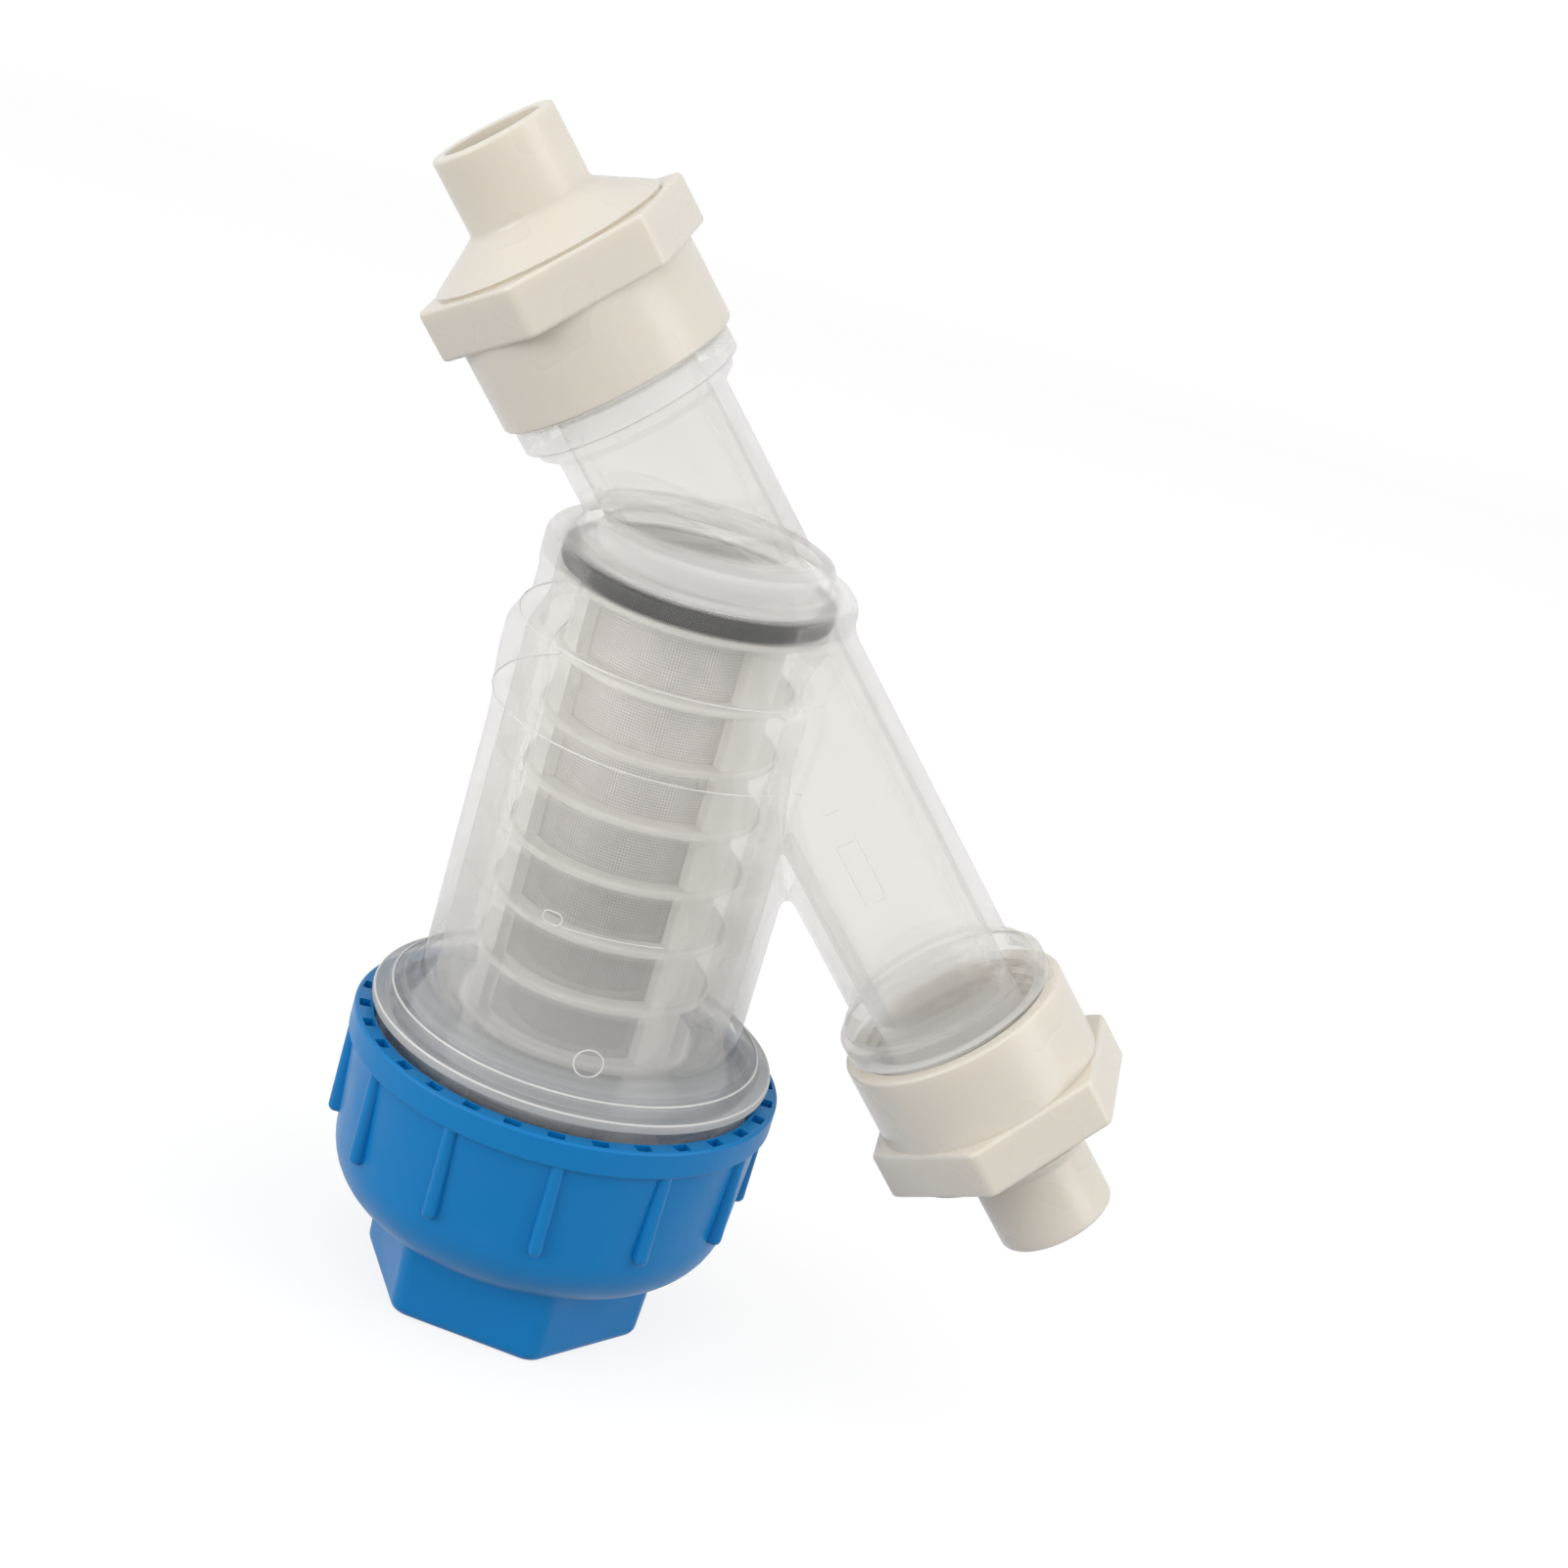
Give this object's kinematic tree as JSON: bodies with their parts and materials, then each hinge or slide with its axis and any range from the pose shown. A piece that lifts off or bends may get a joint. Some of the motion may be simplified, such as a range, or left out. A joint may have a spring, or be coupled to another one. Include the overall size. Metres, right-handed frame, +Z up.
{
  "type": "water filter",
  "caption": "Clear plastic Y strainer with a straight pipe run, a blue screw cap, a caged mesh screen and reducing end fittings.",
  "frame": {"origin": "centre of the flat end face of the cap's spanner hexagon, on which the part stands", "axes": "+Z up along the screen chamber's axis; +X towards the outlet, so the pipe run lies in the XZ plane with its inlet at -X, high, and its outlet at +X, low"},
  "size_m": [0.1918, 0.0916, 0.2492],
  "materials": {
    "clear_plastic": "clear, slightly milky, glossy",
    "blue_plastic": "satin blue",
    "black_rubber": "matt black",
    "milky_plastic": "translucent white",
    "steel_mesh": "fine woven wire",
    "grey_rubber": "dark grey rubber",
    "ivory_plastic": "satin ivory"
  },
  "bodies": {
    "housing": {"body": "clear_plastic"},
    "screen": {"screen_cage": "milky_plastic", "screen_mesh": "steel_mesh", "screen_seal": "grey_rubber"},
    "cap": {"cap": "blue_plastic", "cap_seal": "black_rubber"},
    "inlet_washer": {"inlet_washer": "black_rubber"},
    "inlet_fitting": {"inlet_fitting": "ivory_plastic"},
    "outlet_washer": {"outlet_washer": "black_rubber"},
    "outlet_fitting": {"outlet_fitting": "ivory_plastic"}
  },
  "joints": [
    {"name": "cap_travel", "type": "slide", "parent": "housing", "child": "screen", "axis": [0, 0, -1], "range_m": [0, 0.015]},
    {"name": "cap_turn", "type": "hinge", "parent": "screen", "child": "cap", "pos_m": [0, 0, 0], "axis": [0, 0, -1], "range_deg": [0, 1080]},
    {"name": "inlet_travel", "type": "slide", "parent": "housing", "child": "inlet_washer", "axis": [-0.6691, 0, 0.7431], "range_m": [0, 0.01385]},
    {"name": "inlet_turn", "type": "hinge", "parent": "inlet_washer", "child": "inlet_fitting", "pos_m": [0, 0, 0.172], "axis": [-0.6691, 0, 0.7431], "range_deg": [0, 2160]},
    {"name": "outlet_travel", "type": "slide", "parent": "housing", "child": "outlet_washer", "axis": [0.6691, 0, -0.7431], "range_m": [0, 0.01385]},
    {"name": "outlet_turn", "type": "hinge", "parent": "outlet_washer", "child": "outlet_fitting", "pos_m": [0, 0, 0.172], "axis": [0.6691, 0, -0.7431], "range_deg": [0, 2160]}
  ],
  "couplings": [
    {"joint": "cap_turn", "follows": "cap_travel", "rad_per_m": 1256.6},
    {"joint": "inlet_turn", "follows": "inlet_travel", "rad_per_m": 2721.2},
    {"joint": "outlet_turn", "follows": "outlet_travel", "rad_per_m": 2721.2}
  ]
}
